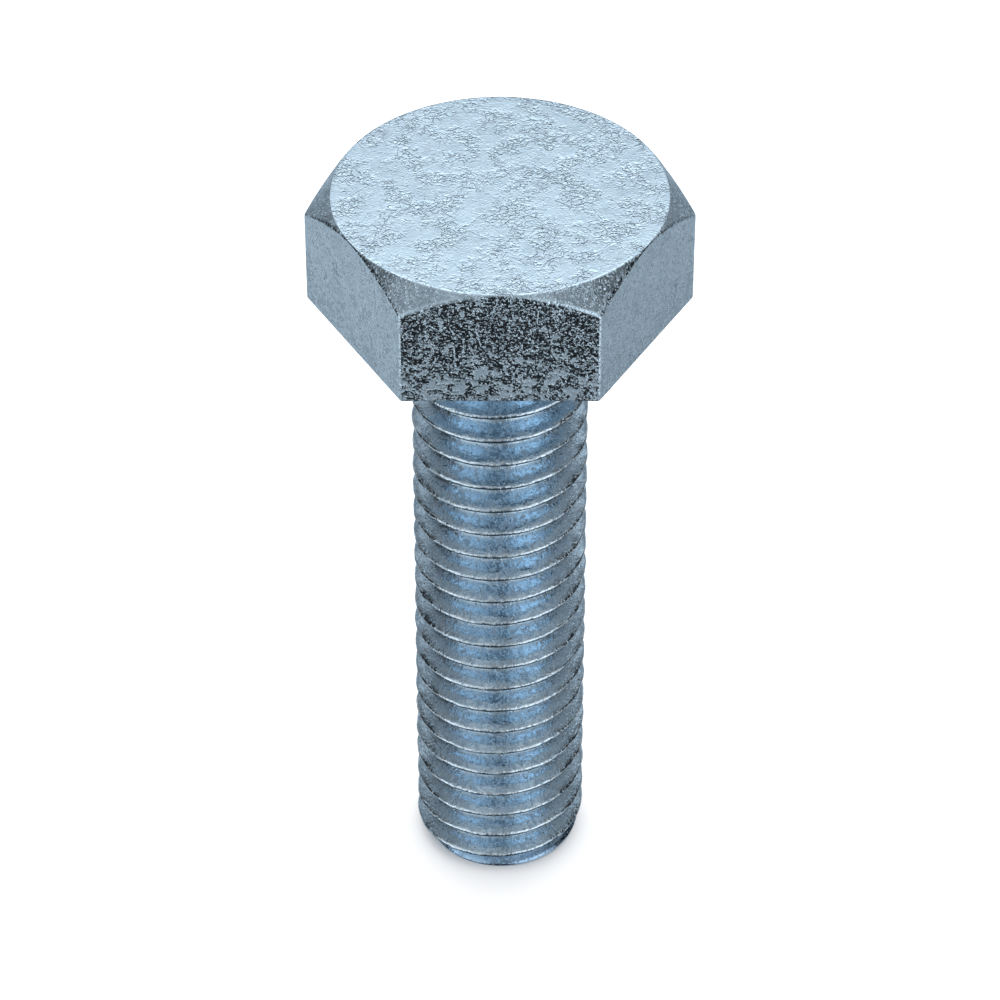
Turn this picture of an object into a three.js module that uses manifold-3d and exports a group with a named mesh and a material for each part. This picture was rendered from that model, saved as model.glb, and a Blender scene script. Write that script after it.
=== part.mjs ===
// Hex bolt, M3 x 0.5 x 12, threaded to the head, zinc-plated steel.
//
// The bolt is one solid piece: a forged head, a rolled thread and a chamfered point.
// Millimetres, +Z up. The origin is on the axis, in the bearing plane under the head.
// The head stands above it and the shank hangs below it, along -Z. Wrench flats face -Y and +Y.

import * as THREE from "three";
import { mergeVertices } from "three/addons/utils/BufferGeometryUtils.js";
import Module from "manifold-3d";

// Driving dimensions: the head
const ACROSS_FLATS = 5.5;
const HEAD_HEIGHT = 2.11;
const TOP_DISC_DIAMETER = 5.47;
const CHAMFER_ANGLE = 43; // degrees, from the plane of the head's top

// Driving dimensions: the shank
const LENGTH = 11.8; // from the bearing plane to the point
const MAJOR_DIAMETER = 2.98; // over the crests
const PITCH = 0.5;
const NECK_DIAMETER = 2.655; // the thread's pitch diameter, which the blank had before rolling
const RUN_OUT_START = -0.4; // the thread grows out of the neck here
const RUN_OUT_END = -1; // and has its full depth from here down
const CREST_HEIGHT_AT_FRONT = 0.148; // over a whole number of pitches, where the shank faces -Y
const FILLET_RADIUS = 0.2; // under the head
const POINT_DIAMETER = 2.56; // the flat at the end
const POINT_ANGLE = 45; // degrees, from the axis

// Fineness of the facets
const HEAD_SIDES = 96;
const SHANK_SIDES = 32;
const FILLET_STEPS = 3;

// The 60 degree metric thread form. Its depths are shares of the full sharp triangle's height.
const FULL_TRIANGLE = (PITCH * Math.sqrt(3)) / 2;
const ROOT_DEPTH = 17 / 24; // to the bottom of the round root
const FLANK_DEPTH = 5 / 8; // to the feet of the straight flanks
const CREST_RADIUS = MAJOR_DIAMETER / 2;
const ROOT_RADIUS = CREST_RADIUS - ROOT_DEPTH * FULL_TRIANGLE;
const FLANK_FOOT_RADIUS = CREST_RADIUS - FLANK_DEPTH * FULL_TRIANGLE;
const NECK_RADIUS = NECK_DIAMETER / 2;

// One turn of the thread, upwards from the middle of a crest: the share of the pitch that has
// been climbed, and the radius there. The root is round, between the feet of the two flanks.
const THREAD_FORM = [
  [1 / 16, CREST_RADIUS],
  [6 / 16, FLANK_FOOT_RADIUS],
  [8 / 16, ROOT_RADIUS],
  [10 / 16, FLANK_FOOT_RADIUS],
  [15 / 16, CREST_RADIUS],
];

// Overlaps, so that the solids join without touching edges
const FILLET_OVERLAP = 0.01; // of the fillet with the neck
const HEAD_OVERLAP = HEAD_HEIGHT / 2; // of the shank with the head
const CUTTER_MARGIN = 1; // of the chamfer cone, past the head on every side
const WELD_TOLERANCE = 1e-5;

const wasm = await Module();
wasm.setup();

const degrees = THREE.MathUtils.degToRad;

// A closed geometry as a solid that can be joined and cut.
function solidOf(geometry) {
  const surface = geometry.clone();
  surface.deleteAttribute("normal");
  surface.deleteAttribute("uv");
  const merged = mergeVertices(surface, WELD_TOLERANCE);
  return new wasm.Manifold(
    new wasm.Mesh({
      numProp: 3,
      vertProperties: merged.getAttribute("position").array,
      triVerts: new Uint32Array(withoutCollapsedFaces(merged.index.array)),
    }),
  );
}

// The triangles whose three corners are still different vertices.
function withoutCollapsedFaces(corners) {
  const kept = [];
  for (let i = 0; i < corners.length; i += 3) {
    const [a, b, c] = corners.slice(i, i + 3);
    if (a !== b && b !== c && c !== a) kept.push(a, b, c);
  }
  return kept;
}

function geometryOf(solid) {
  const mesh = solid.getMesh();
  const geometry = new THREE.BufferGeometry();
  geometry.setAttribute("position", new THREE.BufferAttribute(mesh.vertProperties, 3));
  geometry.setIndex(new THREE.BufferAttribute(mesh.triVerts, 1));
  return geometry;
}

// A solid of revolution about Z. Its profile is [radius, height] pairs, upwards from the axis.
function turned(profile, sides) {
  const points = profile.map(([radius, height]) => new THREE.Vector2(radius, height));
  return new THREE.LatheGeometry(points, sides).rotateX(Math.PI / 2);
}

// The hexagonal bar that the head is made of, with corners on the X axis.
function hexagonBar() {
  const cornerRadius = ACROSS_FLATS / Math.sqrt(3);
  const outline = new THREE.Shape();
  for (let corner = 0; corner < 6; corner++) {
    const turn = degrees(60 * corner);
    const x = cornerRadius * Math.cos(turn);
    const y = cornerRadius * Math.sin(turn);
    if (corner === 0) outline.moveTo(x, y);
    else outline.lineTo(x, y);
  }
  return new THREE.ExtrudeGeometry(outline, { depth: HEAD_HEIGHT, bevelEnabled: false });
}

// A cone that meets the head's top in the round disc, and takes the corners off around it.
function chamferCone() {
  const discRadius = TOP_DISC_DIAMETER / 2;
  const inner = discRadius - CUTTER_MARGIN;
  const outer = discRadius + CUTTER_MARGIN;
  const rise = CUTTER_MARGIN * Math.tan(degrees(CHAMFER_ANGLE));
  const profile = [
    [0, -CUTTER_MARGIN],
    [outer, -CUTTER_MARGIN],
    [outer, HEAD_HEIGHT - rise],
    [inner, HEAD_HEIGHT + rise],
    [0, HEAD_HEIGHT + rise],
  ];
  return turned(profile, HEAD_SIDES);
}

function head() {
  return solidOf(hexagonBar()).intersect(solidOf(chamferCone()));
}

// The radius of the thread at a height: the form at full depth, less in the run-out.
function threadRadius(formRadius, height) {
  const depth = THREE.MathUtils.smoothstep(-height, -RUN_OUT_START, -RUN_OUT_END);
  return THREE.MathUtils.lerp(NECK_RADIUS, formRadius, depth);
}

// A right-handed threaded rod, longer than the shank at both ends. It is a turned rod whose rows
// follow the thread form and climb one pitch in each turn. Past its ends it closes on the axis.
function threadedRod() {
  const bottom = -LENGTH - PITCH;
  const top = PITCH;
  const rows = [];
  const turns = Math.ceil((top - bottom) / PITCH) + 2;
  for (let turn = 0; turn < turns; turn++) {
    const crest = bottom - 2 * PITCH + turn * PITCH;
    for (const [climbed, radius] of THREAD_FORM) rows.push([radius, crest + climbed * PITCH]);
  }
  const phase = THREE.MathUtils.euclideanModulo(CREST_HEIGHT_AT_FRONT - bottom, PITCH);
  const rod = turned(rows, SHANK_SIDES);
  const position = rod.getAttribute("position");
  for (let i = 0; i < position.count; i++) {
    const column = Math.floor(i / rows.length);
    const [formRadius, rowHeight] = rows[i % rows.length];
    const height = rowHeight + phase + (PITCH * column) / SHANK_SIDES;
    const inside = height > bottom && height < top;
    const radius = inside ? threadRadius(formRadius, height) : 0;
    const angle = (2 * Math.PI * column) / SHANK_SIDES;
    const z = THREE.MathUtils.clamp(height, bottom, top);
    position.setXYZ(i, radius * Math.sin(angle), -radius * Math.cos(angle), z);
  }
  return rod;
}

// The space that the shank fills: a cylinder outside the crests, coned down to the flat point.
function pointedCylinder() {
  const pointRadius = POINT_DIAMETER / 2;
  const outer = CREST_RADIUS + PITCH;
  const coneHeight = (outer - pointRadius) / Math.tan(degrees(POINT_ANGLE));
  const profile = [
    [0, -LENGTH],
    [pointRadius, -LENGTH],
    [outer, -LENGTH + coneHeight],
    [outer, HEAD_OVERLAP],
    [0, HEAD_OVERLAP],
  ];
  return turned(profile, SHANK_SIDES);
}

// The round fillet that joins the neck to the head's underside. Its foot is just inside the neck.
function fillet() {
  const foot = NECK_RADIUS - FILLET_OVERLAP;
  const profile = [[0, -FILLET_RADIUS]];
  for (let step = 0; step <= FILLET_STEPS; step++) {
    const turn = ((Math.PI / 2) * step) / FILLET_STEPS;
    const radius = foot + FILLET_RADIUS * (1 - Math.cos(turn));
    profile.push([radius, FILLET_RADIUS * (Math.sin(turn) - 1)]);
  }
  profile.push([foot + FILLET_RADIUS, HEAD_OVERLAP], [0, HEAD_OVERLAP]);
  return turned(profile, SHANK_SIDES);
}

function shank() {
  const thread = solidOf(threadedRod()).intersect(solidOf(pointedCylinder()));
  return thread.add(solidOf(fillet()));
}

const zincPlatedSteel = new THREE.MeshStandardMaterial({
  color: "#8fa3b5",
  metalness: 1,
  roughness: 0.4,
  flatShading: true,
});

const bolt = new THREE.Mesh(geometryOf(head().add(shank())), zincPlatedSteel);
bolt.name = "hex_bolt";

const group = new THREE.Group();
group.add(bolt);

export default group;
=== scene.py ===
"""A hex bolt, M3 x 0.5 x 12, in blue-tinted zinc-plated steel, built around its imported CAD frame.

The bolt stands on its point, on a pale floor. The CAD solid has plain facets. Here one fine mesh
stands for it: a head with rounded edges, a neck, a rolled thread whose crests are slightly torn,
and a chamfered point. Lengths below are in millimetres, and the mesh is scaled to metres once.
"""

import math

import bpy
import numpy as np
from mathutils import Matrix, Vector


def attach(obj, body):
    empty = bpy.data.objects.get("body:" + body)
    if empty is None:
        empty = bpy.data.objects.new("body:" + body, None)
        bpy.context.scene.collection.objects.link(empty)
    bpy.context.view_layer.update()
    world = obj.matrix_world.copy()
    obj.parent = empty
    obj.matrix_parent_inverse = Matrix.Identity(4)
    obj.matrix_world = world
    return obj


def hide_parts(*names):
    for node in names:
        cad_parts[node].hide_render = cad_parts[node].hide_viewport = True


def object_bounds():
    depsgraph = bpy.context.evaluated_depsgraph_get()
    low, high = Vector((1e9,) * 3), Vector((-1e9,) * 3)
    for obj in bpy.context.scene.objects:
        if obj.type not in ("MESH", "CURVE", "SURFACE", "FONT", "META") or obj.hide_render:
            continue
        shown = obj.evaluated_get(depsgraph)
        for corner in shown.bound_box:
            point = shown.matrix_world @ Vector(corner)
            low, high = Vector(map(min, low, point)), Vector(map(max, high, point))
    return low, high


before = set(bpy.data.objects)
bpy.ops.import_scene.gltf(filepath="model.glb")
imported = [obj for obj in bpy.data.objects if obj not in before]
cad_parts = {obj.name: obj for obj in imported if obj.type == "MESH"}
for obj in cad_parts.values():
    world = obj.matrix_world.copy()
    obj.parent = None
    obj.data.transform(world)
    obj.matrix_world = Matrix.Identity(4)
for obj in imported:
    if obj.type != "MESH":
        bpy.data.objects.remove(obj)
cad_low, cad_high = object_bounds()

MM = 0.001

# Sizes from the frame
HALF_FLATS = cad_high.y / MM
HEAD_TOP = cad_high.z / MM
POINT_END = cad_low.z / MM

# Sizes of the forms that the CAD facets stand for
DISC_RADIUS = 2.735
CHAMFER_SLOPE = math.tan(math.radians(43))
CREST_RADIUS = 1.49
PITCH = 0.5
NECK_RADIUS = 1.3275
CREST_HEIGHT_AT_FRONT = 0.148  # over a whole number of pitches, where the shank faces -Y
RUN_OUT_START, RUN_OUT_END = -0.4, -1.0
FILLET_RADIUS = 0.2
NECK_HEIGHT = -0.3  # the head's mesh ends here, and the thread's begins
POINT_RADIUS = 1.28  # a 45 degree chamfer leads to it

# Edge rounding
SIDE_CORNER_RADIUS = 0.055
DISC_EDGE_RADIUS = 0.06
CHAMFER_EDGE_RADIUS = 0.13
UNDER_EDGE_RADIUS = 0.03
CREST_ARC_RADIUS = 0.048
POINT_ROUNDING = 0.03

# Fineness
FLAT_COLUMNS = 57
CORNER_COLUMNS = 7
SHANK_COLUMNS = 192
HEAD_STEPS = (12, 6, 14, 5)  # on the disc, the chamfer, the sides and the underside
ARC_STEPS = 5
FILLET_STEPS = 7
NARROW_STEP = 0.25  # the first and last step of a line, as a share of its others
LARGEST_ARC_SHARE = 0.45  # of either line that an arc joins
DISC_DETAIL_RADIUS = 1.55  # from here out, the disc has all of the outline's columns
DISC_ZONES = (
    # every which column, first radius, last radius, rings
    (8, 0.06, 0.36, 7),
    (4, 0.41, 0.75, 8),
    (2, 0.8, 1.5, 15),
)


# ---------------------------------------------------------------- a mesh made of rings

class RingMesh:
    """Vertices and faces, gathered ring by ring. Each ring is an array of vertex numbers."""

    def __init__(self):
        self.points = []
        self.faces = []
        self.count = 0

    def add(self, points):
        points = np.asarray(points, float).reshape(-1, 3)
        first = self.count
        self.points.append(points)
        self.count += len(points)
        return np.arange(first, self.count)

    def face(self, *corners):
        distinct = [c for i, c in enumerate(corners) if c != corners[i - 1]]
        if len(distinct) > 2:
            self.faces.append(tuple(int(c) for c in distinct))

    def bridge(self, upper, lower):
        """Joins a ring to the next one below or outside it, which has as many points or half."""
        n = len(lower)
        if len(upper) == n:
            for i in range(n):
                j = (i + 1) % n
                self.face(upper[i], lower[i], lower[j], upper[j])
            return
        for i in range(n):
            j = (i + 1) % n
            left, middle, right = upper[2 * i], upper[2 * i + 1], upper[2 * j]
            self.face(left, lower[i], middle)
            self.face(middle, lower[i], lower[j])
            self.face(middle, lower[j], right)

    def bridge_out(self, inner, outer):
        """Joins a ring to a finer one around it, with twice as many points."""
        n = len(inner)
        for i in range(n):
            j = (i + 1) % n
            left, middle, right = outer[2 * i], outer[2 * i + 1], outer[2 * j]
            self.face(inner[i], left, middle)
            self.face(inner[i], middle, inner[j])
            self.face(inner[j], middle, right)

    def fan(self, centre, ring, upwards):
        """Closes a ring onto a point in its middle."""
        n = len(ring)
        for i in range(n):
            j = (i + 1) % n
            if upwards:
                self.face(centre, ring[i], ring[j])
            else:
                self.face(centre, ring[j], ring[i])


# ---------------------------------------------------------------- the head

def hexagon_outline():
    """The head's plan, counterclockwise: six flats that meet in arcs. One of them faces -Y."""
    arc_centre = (HALF_FLATS - SIDE_CORNER_RADIUS) / math.cos(math.pi / 6)
    flat_end = arc_centre * math.sin(math.pi / 6)
    points = []
    for side in range(6):
        corner = math.radians(60 * side)
        for i in range(CORNER_COLUMNS):
            turn = corner + math.radians(60) * (i / (CORNER_COLUMNS - 1) - 0.5)
            x = arc_centre * math.cos(corner) + SIDE_CORNER_RADIUS * math.cos(turn)
            y = arc_centre * math.sin(corner) + SIDE_CORNER_RADIUS * math.sin(turn)
            points.append((x, y))
        normal = corner + math.radians(30)
        for along in spaced(-flat_end, flat_end, FLAT_COLUMNS + 1)[1:-1]:
            x = HALF_FLATS * math.cos(normal) - along * math.sin(normal)
            y = HALF_FLATS * math.sin(normal) + along * math.cos(normal)
            points.append((x, y))
    return np.roll(points, -(CORNER_COLUMNS // 2), axis=0)


def spaced(start, end, steps):
    """Even places from start to end, but for a narrow step at each end that keeps edges crisp."""
    narrow = NARROW_STEP / steps
    inner = np.linspace(narrow, 1 - narrow, steps - 1)
    shares = np.concatenate([[0], inner, [1]])
    return start + (end - start) * shares


def rounded_path(corners, radii):
    """Points along a path of straight lines whose inner corners are arcs: (radius, height) rows.

    corners is an array (corner, column, 2), so every column of the head has its own path.
    """
    rows = []
    start = corners[0]
    for k in range(1, len(corners)):
        here = corners[k]
        before = here - corners[k - 1]
        before_length = np.linalg.norm(before, axis=1, keepdims=True)
        before_unit = before / before_length
        if k == len(corners) - 1:
            for share in spaced(0, 1, HEAD_STEPS[k - 1]):
                rows.append(start + (here - start) * share)
            break
        after = corners[k + 1] - here
        after_length = np.linalg.norm(after, axis=1, keepdims=True)
        after_unit = after / after_length
        cosine = (before_unit * after_unit).sum(axis=1, keepdims=True)
        half_turn = np.arccos(np.clip(cosine, -1, 1)) / 2
        longest = LARGEST_ARC_SHARE * np.minimum(before_length, after_length)
        tangent = np.minimum(radii[k - 1] * np.tan(half_turn), longest)
        radius = tangent / np.tan(half_turn)
        arc_start = here - before_unit * tangent
        for share in spaced(0, 1, HEAD_STEPS[k - 1])[:-1]:
            rows.append(start + (arc_start - start) * share)
        inward = after_unit - before_unit
        inward /= np.linalg.norm(inward, axis=1, keepdims=True)
        centre = here + inward * radius / np.cos(half_turn)
        along = before_unit + after_unit
        along /= np.linalg.norm(along, axis=1, keepdims=True)
        for step in range(ARC_STEPS):
            turn = half_turn * (2 * step / ARC_STEPS - 1)
            rows.append(centre - inward * radius * np.cos(turn) + along * radius * np.sin(turn))
        start = here + after_unit * tangent
    return rows


def build_head(mesh):
    """Rings from the middle of the top, over the edges, to the neck. Returns the neck's ring."""
    outline = hexagon_outline()
    columns = len(outline)
    azimuth = np.arctan2(outline[:, 1], outline[:, 0])
    reach = np.hypot(outline[:, 0], outline[:, 1])

    def ring(radius, height, skip=1):
        a = azimuth[::skip]
        r = np.broadcast_to(radius, columns)[::skip]
        h = np.broadcast_to(height, columns)[::skip]
        return mesh.add(np.stack([r * np.cos(a), r * np.sin(a), h], axis=1))

    # The middle of the disc has fewer columns.
    centre = mesh.add([(0, 0, HEAD_TOP)])[0]
    inner = None
    for skip, start, end, rings in DISC_ZONES:
        for radius in np.linspace(start, end, rings):
            outer = ring(radius, HEAD_TOP, skip)
            if inner is None:
                mesh.fan(centre, outer, upwards=True)
            elif len(outer) == len(inner):
                mesh.bridge(inner, outer)
            else:
                mesh.bridge_out(inner, outer)
            inner = outer

    fillet_foot = NECK_RADIUS + FILLET_RADIUS
    chamfer_height = HEAD_TOP - CHAMFER_SLOPE * (reach - DISC_RADIUS)
    flat = np.zeros(columns)
    corners = np.array([
        np.stack([flat + DISC_DETAIL_RADIUS, flat + HEAD_TOP], axis=1),
        np.stack([flat + DISC_RADIUS, flat + HEAD_TOP], axis=1),
        np.stack([reach, chamfer_height], axis=1),
        np.stack([reach, flat], axis=1),
        np.stack([flat + fillet_foot, flat], axis=1),
    ])
    radii = (DISC_EDGE_RADIUS, CHAMFER_EDGE_RADIUS, UNDER_EDGE_RADIUS)
    for row in rounded_path(corners, radii):
        outer = ring(row[:, 0], row[:, 1])
        if len(outer) == len(inner):
            mesh.bridge(inner, outer)
        else:
            mesh.bridge_out(inner, outer)
        inner = outer

    # The fillet and the neck are round, with even columns.
    for step in range(1, FILLET_STEPS + 1):
        turn = math.pi / 2 * step / FILLET_STEPS
        radius = fillet_foot - FILLET_RADIUS * math.sin(turn)
        height = -FILLET_RADIUS * (1 - math.cos(turn))
        inner = shank_ring(mesh, inner, radius, height)
    return shank_ring(mesh, inner, NECK_RADIUS, NECK_HEIGHT)


def shank_azimuth(column):
    """Counterclockwise from the +X axis, as the head's outline starts there too."""
    return 2 * math.pi * np.asarray(column) / SHANK_COLUMNS


def shank_ring(mesh, above, radius, height):
    """Adds a level round ring below another, and joins the two."""
    a = shank_azimuth(np.arange(SHANK_COLUMNS))
    r = np.broadcast_to(radius, a.shape)
    ring = mesh.add(np.column_stack([r * np.cos(a), r * np.sin(a), np.full(a.shape, height)]))
    mesh.bridge(above, ring)
    return ring


# ---------------------------------------------------------------- the shank

CREST_HEIGHT_AT_X = CREST_HEIGHT_AT_FRONT - 0.75 * PITCH  # the thread climbs a pitch in each turn
CREST_TEAR = 0.018
TEAR_REACH = (0.05, 0.13)  # where the tearing fades out, in pitches from the crest's middle
FINE_TEARS, COARSE_TEARS = 61, 23  # in each turn
LOWER_EDGE_SEED, UPPER_EDGE_SEED, PUSH_SEED = 11, 21, 31
TEAR_PUSH, TEAR_SINK = 0.5, 0.35  # outward and inward, as shares of CREST_TEAR
POINT_CLEARANCE = 0.3  # the tearing sets in over this height above the end
SEAM_PHASE = -0.055  # the fold that rolling leaves along the crest, in pitches from its middle
SEAM_HALF_WIDTH = 0.055
SEAM_DEPTH = 0.012
PAINTED_HIGHLIGHT_PHASE = 0.05  # where the painted highlight runs along the crest's upper edge, above the seam
PAINTED_HIGHLIGHT_HALF_WIDTH = 0.06
HELIX_TURNS = 40  # more than the thread has
SPARE_TURNS = 3  # rows beyond the ends, which fold onto the neck's ring and the end's
END_RINGS = (0.985, 0.9, 0.75, 0.6, 0.45, 0.3, 0.15)  # shares of the end's radius
FULL_TRIANGLE = PITCH * math.sqrt(3) / 2
CREST_FLAT = PITCH / 16 - CREST_ARC_RADIUS * math.tan(math.pi / 6)
ROOT_ARC_RADIUS = FULL_TRIANGLE / 6
ROOT_RADIUS = CREST_RADIUS - FULL_TRIANGLE * 17 / 24

# Where the rows of one turn lie, downwards, in pitches from the middle of a crest.
ROW_PHASES = (0, -0.025, -0.045, -0.06, -0.075, -0.1, -0.18, -0.28, -0.39,
              -0.5, -0.61, -0.72, -0.82, -0.905, -0.935, -0.968)


def smooth_min(a, b, softness):
    return (a + b - np.sqrt((a - b) ** 2 + softness ** 2)) / 2


def smoothstep(low, high, value):
    t = np.clip((value - low) / (high - low), 0, 1)
    return t * t * (3 - 2 * t)


def form_radius(phase):
    """The 60 degree thread form: a crest rounded by rolling, straight flanks, a round root."""
    from_crest = np.abs((phase + 0.5) % 1 - 0.5) * PITCH
    flank = CREST_RADIUS - math.sqrt(3) * (from_crest - PITCH / 16)
    along_arc = np.clip(from_crest - CREST_FLAT, 0, CREST_ARC_RADIUS * math.sin(math.pi / 3))
    arc = CREST_RADIUS - CREST_ARC_RADIUS + np.sqrt(CREST_ARC_RADIUS ** 2 - along_arc ** 2)
    crested = np.minimum(flank, arc)
    from_root = np.minimum(PITCH / 2 - from_crest, ROOT_ARC_RADIUS)
    root = ROOT_RADIUS + ROOT_ARC_RADIUS - np.sqrt(ROOT_ARC_RADIUS ** 2 - from_root ** 2)
    return np.where(from_root < PITCH / 8, root, crested)


def shank_radius(turn, height):
    """The shank's radius at a share of a turn from +X and a height."""
    phase = (height - CREST_HEIGHT_AT_X) / PITCH - turn
    depth = smoothstep(-RUN_OUT_START, -RUN_OUT_END, -height)
    from_seam = np.abs((phase - SEAM_PHASE + 0.5) % 1 - 0.5)
    seam = SEAM_DEPTH * (1 - smoothstep(0, SEAM_HALF_WIDTH, from_seam))
    threaded = NECK_RADIUS + (form_radius(phase) - seam - NECK_RADIUS) * depth
    pointed = POINT_RADIUS + height - POINT_END
    return smooth_min(threaded, pointed, POINT_ROUNDING)


def wavering(turns, seed, waves_per_turn):
    """A smooth random run of values from -1 to 1 along the helix, the same in each run."""
    scaled = np.asarray(turns) * waves_per_turn
    values = np.random.default_rng(seed).uniform(-1, 1, 4 * HELIX_TURNS * waves_per_turn)
    before = np.floor(scaled).astype(int)
    share = smoothstep(0, 1, scaled - before)
    return values[before] * (1 - share) + values[before + 1] * share


def torn_crests(turn_index, shares):
    """How far each point of each row moves up and outward, where rolling has torn the crest."""
    phases = np.array(ROW_PHASES)
    crest = turn_index[:, None] + (phases < -0.5)
    from_crest = phases + (phases < -0.5)
    along = HELIX_TURNS + crest[..., None] - shares
    near = 1 - smoothstep(*TEAR_REACH, np.abs(from_crest))[:, None]
    below = smoothstep(-0.05, 0.05, -from_crest)[:, None]

    def ragged(seed):
        fine = wavering(along, seed, FINE_TEARS)
        coarse = wavering(along, seed + 1, COARSE_TEARS)
        return 0.6 * fine + 0.4 * coarse

    edges = below * ragged(LOWER_EDGE_SEED) + (1 - below) * ragged(UPPER_EDGE_SEED)
    lift = CREST_TEAR * near * edges
    push = CREST_TEAR * near * (TEAR_PUSH * ragged(PUSH_SEED) - TEAR_SINK)
    return lift.reshape(-1, len(shares)), push.reshape(-1, len(shares))


def build_thread(mesh, neck):
    """Rows that wind down from the neck's ring to the end's.

    Each row is one turn long, and ends where the row that is rows_per_turn above it began.
    """
    rows_per_turn = len(ROW_PHASES)
    turns = math.ceil((NECK_HEIGHT - POINT_END) / PITCH) + SPARE_TURNS
    pitches_up = math.ceil((NECK_HEIGHT - CREST_HEIGHT_AT_X) / PITCH + 1)
    highest_crest = CREST_HEIGHT_AT_X + PITCH * pitches_up
    shares = np.arange(SHANK_COLUMNS) / SHANK_COLUMNS
    crests = highest_crest - PITCH * np.arange(turns)
    starts = (crests[:, None] + PITCH * np.array(ROW_PHASES)).ravel()
    heights = starts[:, None] + PITCH * shares
    lift, push = torn_crests(np.arange(turns), shares)
    threaded = smoothstep(-RUN_OUT_START, -RUN_OUT_END, -heights)
    clear_of_point = smoothstep(0, POINT_CLEARANCE, heights - POINT_END)
    torn = threaded * clear_of_point
    radii = shank_radius(shares, heights) + push * torn
    heights = heights + lift * torn
    own = (heights < NECK_HEIGHT) & (heights > POINT_END)
    azimuth = np.broadcast_to(2 * math.pi * shares, heights.shape)
    corners = np.stack([radii * np.cos(azimuth), radii * np.sin(azimuth), heights], axis=-1)

    end_radii = shank_radius(shares, POINT_END)
    end_azimuth = 2 * math.pi * shares
    end_rim = np.stack([end_radii * np.cos(end_azimuth), end_radii * np.sin(end_azimuth)], axis=1)
    end = mesh.add(np.column_stack([end_rim, np.full(SHANK_COLUMNS, POINT_END)]))

    numbers = np.where(heights >= NECK_HEIGHT, neck, end)
    numbers[own] = mesh.add(corners[own])
    for i in range(rows_per_turn, len(starts) - 1):
        upper = np.append(numbers[i], numbers[i - rows_per_turn, 0])
        lower = np.append(numbers[i + 1], numbers[i + 1 - rows_per_turn, 0])
        for j in range(SHANK_COLUMNS):
            mesh.face(upper[j], lower[j], lower[j + 1], upper[j + 1])

    inner = end
    for share in END_RINGS:
        ring = mesh.add(np.column_stack([end_rim * share, np.full(SHANK_COLUMNS, POINT_END)]))
        mesh.bridge(inner, ring)
        inner = ring
    mesh.fan(mesh.add([(0, 0, POINT_END)])[0], inner, upwards=False)


def build_bolt():
    """The whole bolt as one closed, smooth-shaded mesh in metres."""
    rings = RingMesh()
    build_thread(rings, build_head(rings))
    mesh = bpy.data.meshes.new("bolt")
    mesh.from_pydata(np.concatenate(rings.points) * MM, [], rings.faces)
    mesh.validate()
    mesh.polygons.foreach_set("use_smooth", [True] * len(mesh.polygons))
    bolt = bpy.data.objects.new("bolt", mesh)
    bpy.context.scene.collection.objects.link(bolt)
    return bolt


# ---------------------------------------------------------------- node helpers

class Nodes:
    """Adds nodes to a tree. An input's value is a socket to link or a constant to set."""

    def __init__(self, tree):
        self.tree = tree
        tree.nodes.clear()

    def add(self, kind, inputs=(), **settings):
        node = self.tree.nodes.new(kind)
        for name, value in settings.items():
            setattr(node, name, value)
        for name, value in dict(inputs).items():
            if isinstance(value, bpy.types.NodeSocket):
                self.tree.links.new(value, node.inputs[name])
            else:
                node.inputs[name].default_value = value
        return node

    def math(self, operation, *values):
        return self.add("ShaderNodeMath", dict(enumerate(values)), operation=operation).outputs[0]

    def fold(self, operation, values):
        """The values joined one after another by the same operation."""
        result, *others = values
        for value in others:
            result = self.math(operation, result, value)
        return result

    def product(self, *values):
        return self.fold("MULTIPLY", values)

    def total(self, *values):
        return self.fold("ADD", values)

    def vector(self, operation, *values):
        node = self.add("ShaderNodeVectorMath", dict(enumerate(values)), operation=operation)
        return node.outputs["Value" if operation in ("DOT_PRODUCT", "LENGTH") else "Vector"]

    def scaled(self, vector, factor):
        node = self.add("ShaderNodeVectorMath", {0: vector, "Scale": factor}, operation="SCALE")
        return node.outputs["Vector"]

    def axes(self, vector):
        return self.add("ShaderNodeSeparateXYZ", {0: vector}).outputs

    def noise(self, place, scale, detail, roughness):
        inputs = {"Vector": place, "Scale": scale, "Detail": detail, "Roughness": roughness}
        return self.add("ShaderNodeTexNoise", inputs).outputs["Fac"]

    def step(self, value, low, high, out_low=0.0, out_high=1.0):
        """A smooth rise from out_low to out_high as value goes from low to high."""
        node = self.add("ShaderNodeMapRange", {
            "Value": value,
            "From Min": low,
            "From Max": high,
            "To Min": out_low,
            "To Max": out_high,
        }, interpolation_type="SMOOTHSTEP")
        return node.outputs["Result"]

    def band(self, value, middle, half_width):
        """1 where value is at the middle, falling to 0 at half_width on either side."""
        distance = self.math("ABSOLUTE", self.math("SUBTRACT", value, middle))
        return self.step(distance, 0.0, half_width, 1.0, 0.0)

    def mix(self, factor, a, b):
        """Colour a where factor is 0, and b where it is 1."""
        # The node has sockets for each kind of value: 6, 7 and output 2 are for colours.
        return self.add("ShaderNodeMix", {0: factor, 6: a, 7: b}, data_type="RGBA").outputs[2]


# ---------------------------------------------------------------- the zinc plating

ZINC = (0.50, 0.655, 0.785, 1)
ZINC_PALE = (0.57, 0.735, 0.87, 1)
ZINC_DULL = (0.42, 0.53, 0.65, 1)
ZINC_EDGE = (0.78, 0.89, 0.99, 1)
ZINC_SHANK = (0.45, 0.63, 0.80, 1)
# darker and bluer: painted shade near the point, the tint of light mirrored twice in the thread
ZINC_POINT_PAINTED_SHADE = (0.28, 0.46, 0.68, 1)
# pale: a painted highlight along the thread's crests
ZINC_PAINTED_HIGHLIGHT = (0.70, 0.84, 0.95, 1)
# near black: dark pits, and painted shade in the seam under each crest
PIT_DIRT_AND_PAINTED_SHADE = (0.03, 0.035, 0.04, 1)

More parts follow.
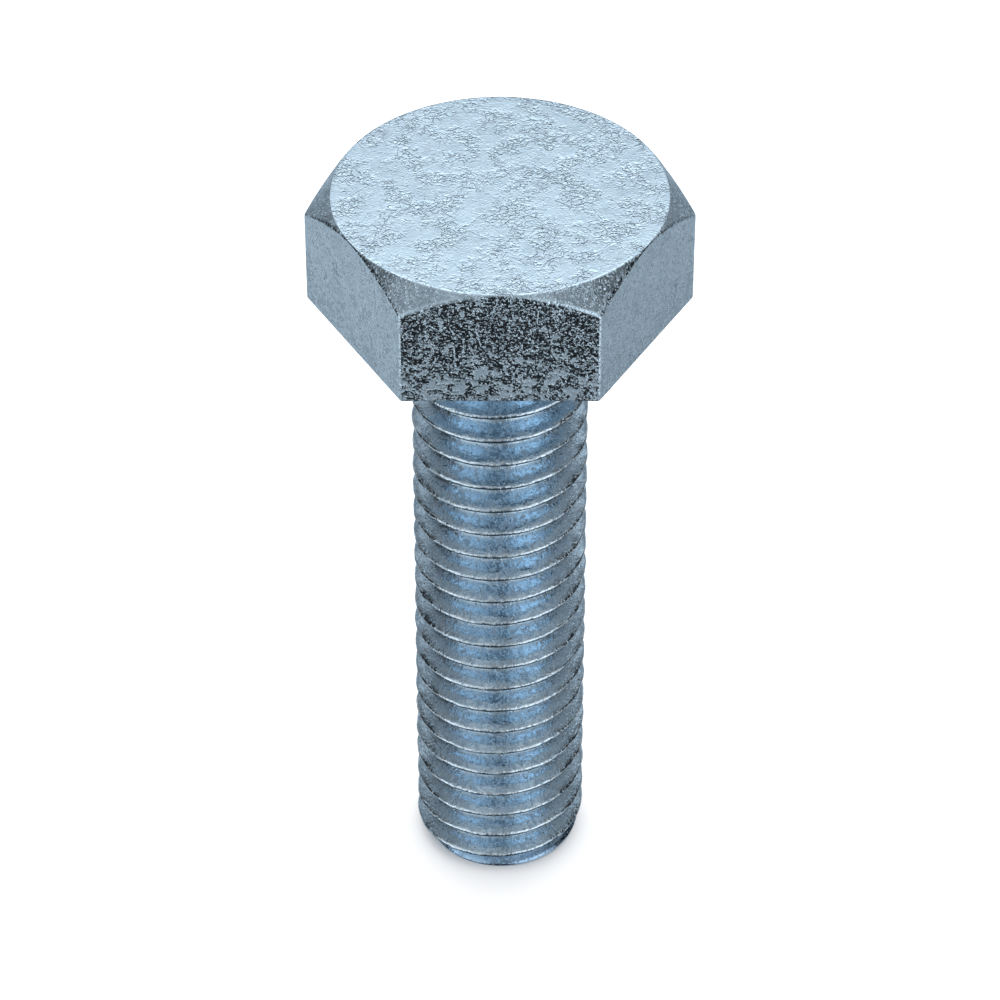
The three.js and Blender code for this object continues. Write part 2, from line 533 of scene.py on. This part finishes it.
# Noise patterns: cells in each millimetre, detail, roughness
CLOUD = (4.0, 3.0, 0.6)
FLECK = (12.0, 3.0, 0.65)
SWELL = (1.2, 1.0, 0.5)
SPECK = (25.0, 1.0, 0.6)
DIMPLE = (15.0, 1.0, 0.5)
CRINKLE_ZONE = (1.9, 3.0, 0.6)
LONG_CRINKLE = (4.5, 2.5, 0.6)
SHORT_CRINKLE = (8.0, 1.5, 0.6)
STAIN = (2.3, 3.0, 0.6)
PIT = (17.0, 0.0, 0.5)
ELSEWHERE = (31.7, 12.9, 5.3)  # a shift that makes a pattern unlike the others

# Values of those patterns between which a feature sets in
PALE_RANGE = (0.35, 0.6)
DULL_RANGE = (0.56, 0.70)
CRINKLE_RANGE = (0.42, 0.58)
STAIN_RANGE = (0.58, 0.72)
PIT_RANGE = (0.78, 0.86)
SPECK_FLOOR = 0.56
DIMPLE_FLOOR = 0.58
CRINKLE_HALF_WIDTH = 0.06

# Scratches: cells in each millimetre, width, reach, share of the cells that have one
LONG_SCRATCHES = (1.6, 0.012, 0.42, 0.36)
SHORT_SCRATCHES = (3.1, 0.008, 0.22, 0.42)

# Regions of the bolt, by height and by how far a face looks up
SHANK_RANGE = (-0.35, -0.15)
POINT_SHADE_RANGE = (POINT_END + 0.2, POINT_END + 0.45)
LINES_TOP_RANGE = (-0.7, -0.45)
LINES_END_RANGE = (POINT_END + 0.1, POINT_END + 0.3)
DISC_RANGE = (0.88, 0.98)
HANDLED_RANGE = (0.2, 1.3, 0.08, -0.05)  # duller low on the head's sides than high on them

# How strongly each pattern shows: heights are in units of BUMP_HEIGHT
BUMP_HEIGHT = 0.004
SPECK_HEIGHT = 9.0
DIMPLE_DEPTH = 5.5
FLECK_HEIGHT = 0.3
SWELL_HEIGHT = 3.0
CRINKLE_DEPTH = 1.5
SCRATCH_DEPTH = 0.6
LINE_RAGGEDNESS = 0.3
# how much wider than the seam the painted shade along it is
PAINTED_SHADE_SPREAD = 1.5
PIT_GRIME = 0.6
PIT_DIRT_AND_SHADE_COVER = 0.92


def scratches(nodes, place, cells_per_mm, width, reach, keep):
    """Straight lines at random angles, one in each kept cell of a pattern: 1 on a line, else 0."""
    cell = nodes.add("ShaderNodeTexVoronoi", {"Vector": place, "Scale": cells_per_mm})
    offset = nodes.vector("SUBTRACT", place, cell.outputs["Position"])
    random_vector = nodes.vector("SUBTRACT", cell.outputs["Color"], (0.5, 0.5, 0.5))
    across = nodes.vector("NORMALIZE", random_vector)
    distance = nodes.math("ABSOLUTE", nodes.vector("DOT_PRODUCT", offset, across))
    line = nodes.step(distance, 0.0, width, 1.0, 0.0)
    near = nodes.step(nodes.vector("LENGTH", offset), reach * 0.6, reach, 1.0, 0.0)
    red = nodes.add("ShaderNodeSeparateColor", {0: cell.outputs["Color"]}).outputs[0]
    kept = nodes.step(red, keep - 0.01, keep, 1.0, 0.0)
    return nodes.product(line, near, kept)


def crest_lines(nodes, place, fleck):
    """Two lines that wind along the thread's crest: a painted highlight on its upper edge, and
    painted shade along the seam below.
    """
    axes = nodes.axes(place)
    turn = nodes.math("DIVIDE", nodes.math("ARCTAN2", axes["Y"], axes["X"]), math.tau)
    climb = nodes.math("DIVIDE", nodes.math("SUBTRACT", axes["Z"], CREST_HEIGHT_AT_X), PITCH)
    ragged = nodes.product(nodes.math("SUBTRACT", fleck, 0.5), LINE_RAGGEDNESS)
    phase = nodes.total(nodes.math("SUBTRACT", climb, turn), ragged)
    below_neck = nodes.step(axes["Z"], *LINES_TOP_RANGE, 1.0, 0.0)
    above_point = nodes.step(axes["Z"], *LINES_END_RANGE)
    threaded = nodes.product(below_neck, above_point)

    def line(middle, half_width):
        wrapped = nodes.math("FRACT", nodes.total(phase, 0.5 - middle))
        return nodes.product(nodes.band(wrapped, 0.5, half_width), threaded)

    painted_crest_highlight = line(PAINTED_HIGHLIGHT_PHASE, PAINTED_HIGHLIGHT_HALF_WIDTH)
    return painted_crest_highlight, line(SEAM_PHASE, SEAM_HALF_WIDTH * PAINTED_SHADE_SPREAD)


def zinc_material():
    """Bright zinc: a fine grain, crinkles and scratches pressed into it, and dull grey patches."""
    material = bpy.data.materials.new("zinc_plated_steel")
    material.use_nodes = True
    nodes = Nodes(material.node_tree)
    coordinates = nodes.add("ShaderNodeTexCoord").outputs
    place = nodes.scaled(coordinates["Object"], 1 / MM)
    elsewhere = nodes.vector("ADD", place, ELSEWHERE)
    height_up = nodes.axes(place)["Z"]
    shank = nodes.step(height_up, *SHANK_RANGE, 1.0, 0.0)
    disc = nodes.step(nodes.axes(coordinates["Normal"])["Z"], *DISC_RANGE)

    cloud = nodes.noise(place, *CLOUD)
    fleck = nodes.noise(elsewhere, *FLECK)
    swell = nodes.noise(elsewhere, *SWELL)
    handled = nodes.step(height_up, *HANDLED_RANGE)
    handled = nodes.product(handled, nodes.math("SUBTRACT", 1.0, shank))
    mottled = nodes.product(nodes.math("SUBTRACT", fleck, 0.5), 0.9)
    dull = nodes.step(nodes.total(cloud, mottled, handled), *DULL_RANGE)
    speck = nodes.math("MAXIMUM", nodes.noise(place, *SPECK), SPECK_FLOOR)
    dimple = nodes.math("MAXIMUM", nodes.noise(elsewhere, *DIMPLE), DIMPLE_FLOOR)
    crinkle_zone = nodes.step(nodes.noise(elsewhere, *CRINKLE_ZONE), *CRINKLE_RANGE)
    long_crinkle = nodes.band(nodes.noise(place, *LONG_CRINKLE), 0.5, CRINKLE_HALF_WIDTH)
    short_crinkle = nodes.band(nodes.noise(elsewhere, *SHORT_CRINKLE), 0.52, CRINKLE_HALF_WIDTH)
    crinkle = nodes.math("MAXIMUM", long_crinkle, short_crinkle)
    crinkle = nodes.product(crinkle, crinkle_zone)
    scratch = nodes.math(
        "MAXIMUM",
        scratches(nodes, place, *LONG_SCRATCHES),
        scratches(nodes, elsewhere, *SHORT_SCRATCHES),
    )
    stain = nodes.step(nodes.noise(elsewhere, *STAIN), *STAIN_RANGE)
    pit = nodes.step(nodes.noise(place, *PIT), *PIT_RANGE)
    painted_crest_highlight, seam = crest_lines(nodes, place, fleck)
    # Dark pits are dirt; along the seam under each crest the dark colour is painted shade.
    pit_dirt_and_painted_shade = nodes.math("MAXIMUM", nodes.product(pit, PIT_GRIME), seam)

    colour = nodes.mix(nodes.step(cloud, *PALE_RANGE), ZINC, ZINC_PALE)
    coats = (
        (nodes.product(shank, 0.7), ZINC_SHANK),
        # the band by the point is painted darker and bluer, as shade
        (nodes.step(height_up, *POINT_SHADE_RANGE, 0.8, 0.0), ZINC_POINT_PAINTED_SHADE),
        (nodes.product(dull, 0.15), ZINC_DULL),
        (nodes.product(scratch, 0.25), ZINC_DULL),
        (nodes.product(stain, 0.6), ZINC_DULL),
        # a pale painted highlight along each crest's upper edge
        (painted_crest_highlight, ZINC_PAINTED_HIGHLIGHT),
        (nodes.product(pit_dirt_and_painted_shade, PIT_DIRT_AND_SHADE_COVER), PIT_DIRT_AND_PAINTED_SHADE),
    )
    for cover, coat in coats:
        colour = nodes.mix(cover, colour, coat)

    rough = nodes.total(
        nodes.step(fleck, 0.3, 0.7, 0.09, 0.17),
        nodes.product(dull, 0.42),
        nodes.product(pit_dirt_and_painted_shade, 0.3),
    )

    # Dull patches, the disc and the shank have less grain, and only the disc is fully wrinkled.
    bright = nodes.math("SUBTRACT", 1.0, nodes.product(dull, 0.85))
    disc_grain = nodes.step(disc, 0.0, 1.0, 1.0, 0.35)
    shank_grain = nodes.step(shank, 0.0, 1.0, 1.0, 0.55)
    grainy = nodes.product(bright, disc_grain, shank_grain)
    wrinkled = nodes.step(disc, 0.0, 1.0, 0.2, 1.0)
    height = nodes.total(
        nodes.product(grainy, SPECK_HEIGHT, speck),
        nodes.product(grainy, -DIMPLE_DEPTH, dimple),
        nodes.product(fleck, FLECK_HEIGHT),
        nodes.product(swell, SWELL_HEIGHT),
        nodes.product(wrinkled, -CRINKLE_DEPTH, crinkle),
        nodes.product(scratch, -SCRATCH_DEPTH),
    )
    bump = nodes.add("ShaderNodeBump", {
        "Strength": 1.0,
        "Distance": BUMP_HEIGHT * MM,
        "Height": height,
    })
    surface = nodes.add("ShaderNodeBsdfPrincipled", {
        "Base Color": colour,
        "Metallic": 1.0,
        "Roughness": rough,
        "Specular Tint": ZINC_EDGE,
        "Normal": bump.outputs["Normal"],
    })
    nodes.add("ShaderNodeOutputMaterial", {"Surface": surface.outputs["BSDF"]})
    return material


# ---------------------------------------------------------------- the studio

FLOOR_RADIUS = 0.4  # metres
FLOOR_SIDES = 96
FLOOR_COLOUR = (0.88, 0.885, 0.89, 1)
FLOOR_ROUGHNESS = 0.9
LAMP_ANGLE = 100  # degrees
LAMP_STRENGTH = 3.4
WHITE = (1, 1, 1, 1)

# Each light is soft-edged and spans azimuths and elevations in degrees. Azimuth 0 is the bolt's
# front, -Y, and 180 its back. The room is turned by ROOM_TURN, and PANELS are on both its sides.
ROOM_TURN = 3
ROOM_LIGHT = 0.022
PANELS = (
    # azimuths, softness, elevations, softness, strength
    (18, 73, 8, -50, 45, 7, 0.60),       # two tall softboxes at the front corners
    (20, 77, 8, 48, 100, 7, 0.40),       # their upper parts
    (27, 75, 8, -50, 14, 10, 0.38),      # their brighter lower parts
    (-30, 24, 9, -20, 62, 10, 0.27),     # the dim gap between them
    (132, 190, 12, 38, 90, 15, 1.75),    # the large softbox above and behind
    (132, 190, 12, 18, 36, 8, 0.55),     # its spill on the back wall
    (130, 190, 12, -42, -8, 8, 0.75),    # the pale table at the back
    (120, 155, 8, -10, 30, 12, 0.26),    # the walls at the rear corners
    (75, 127, 21, -60, -24, 10, 0.73),   # the pale table at the sides
    (-30, 132, 12, 60, 90, 14, 0.22),    # the ceiling
    (80, 132, 12, 34, 90, 10, 0.26),     # the side walls
)
ONE_SIDED_PANELS = (
    # the same numbers, on one side only: left is negative
    (105, 150, 15, -60, -20, 10, -0.10),  # a darker table at the right
    (45, 85, 10, 32, 62, 8, -0.07),       # a dimmer top to the right softbox
    (13, 62, 5, -24, 24, 6, 0.40),        # a brighter middle to the right softbox
    (-80, -52, 8, -24, 24, 6, 0.20),      # a brighter outer edge to the left softbox
)


def studio_light():
    """A photo studio all round, as the metal mirrors it: softboxes with dark gaps between them."""
    world = bpy.data.worlds.new("studio")
    bpy.context.scene.world = world
    world.use_nodes = True
    nodes = Nodes(world.node_tree)
    axes = nodes.axes(nodes.add("ShaderNodeTexCoord").outputs["Generated"])
    azimuth = nodes.math("ARCTAN2", axes["X"], nodes.product(axes["Y"], -1.0))
    turned = nodes.total(nodes.math("DEGREES", azimuth), ROOM_TURN)
    mirrored = nodes.math("ABSOLUTE", turned)
    elevation = nodes.math("DEGREES", nodes.math("ARCSINE", axes["Z"]))

    def window(value, low, high, soft):
        rise = nodes.step(value, low - soft, low + soft)
        fall = nodes.step(value, high - soft, high + soft, 1.0, 0.0)
        return nodes.product(rise, fall)

    def panel(azimuth, az_low, az_high, az_soft, el_low, el_high, el_soft, strength):
        across = window(azimuth, az_low, az_high, az_soft)
        up = window(elevation, el_low, el_high, el_soft)
        return nodes.product(across, up, strength)

    light = nodes.total(
        ROOM_LIGHT,
        *(panel(mirrored, *numbers) for numbers in PANELS),
        *(panel(turned, *numbers) for numbers in ONE_SIDED_PANELS),
    )
    light = nodes.math("MAXIMUM", light, 0.0)
    room = nodes.add("ShaderNodeBackground", {"Color": WHITE, "Strength": light})
    backdrop = nodes.add("ShaderNodeBackground", {"Color": WHITE, "Strength": 1.0})
    seen = nodes.add("ShaderNodeLightPath").outputs["Is Camera Ray"]
    mixed = nodes.add("ShaderNodeMixShader", {
        0: seen,
        1: room.outputs[0],
        2: backdrop.outputs[0],
    })
    nodes.add("ShaderNodeOutputWorld", {"Surface": mixed.outputs[0]})


def floor():
    """A pale round floor under the point. The metal doesn't mirror it: the studio has its own."""
    mesh = bpy.data.meshes.new("floor")
    turns = [math.tau * i / FLOOR_SIDES for i in range(FLOOR_SIDES)]
    height = POINT_END * MM
    rim = [(FLOOR_RADIUS * math.cos(t), FLOOR_RADIUS * math.sin(t), height) for t in turns]
    mesh.from_pydata(rim, [], [range(FLOOR_SIDES)])
    material = bpy.data.materials.new("floor")
    material.use_nodes = True
    nodes = Nodes(material.node_tree)
    inputs = {"Base Color": FLOOR_COLOUR, "Roughness": FLOOR_ROUGHNESS}
    surface = nodes.add("ShaderNodeBsdfPrincipled", inputs)
    nodes.add("ShaderNodeOutputMaterial", {"Surface": surface.outputs["BSDF"]})
    mesh.materials.append(material)
    obj = bpy.data.objects.new("floor", mesh)
    bpy.context.scene.collection.objects.link(obj)
    obj.visible_glossy = False


def floor_lamp():
    """Even, soft light from overhead that whitens the floor. The metal doesn't mirror it."""
    lamp = bpy.data.lights.new("overhead", "SUN")
    lamp.angle = math.radians(LAMP_ANGLE)
    lamp.energy = LAMP_STRENGTH
    obj = bpy.data.objects.new("overhead", lamp)
    obj.visible_glossy = False
    bpy.context.scene.collection.objects.link(obj)


# The camera, as solved from the head's corners and the shank's edges in the photo
CAMERA_LENS = 155.46  # on a 36 mm sensor
CAMERA_PLACE = (0, -0.056601, 0.042848)  # metres
CAMERA_TILT = 50.189  # degrees up from straight down


def camera():
    """Looks down at the front of the bolt, as the photo does."""
    data = bpy.data.cameras.new("camera")
    data.sensor_width = 36
    data.lens = CAMERA_LENS
    data.clip_start = 0.001
    obj = bpy.data.objects.new("camera", data)
    obj.location = CAMERA_PLACE
    obj.rotation_euler = (math.radians(CAMERA_TILT), 0, 0)
    bpy.context.scene.collection.objects.link(obj)
    bpy.context.scene.camera = obj


camera()
studio_light()
floor()
floor_lamp()
bpy.context.scene.view_settings.view_transform = "Standard"

bolt = build_bolt()
bolt.data.materials.append(zinc_material())
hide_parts("hex_bolt")
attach(bolt, "root")
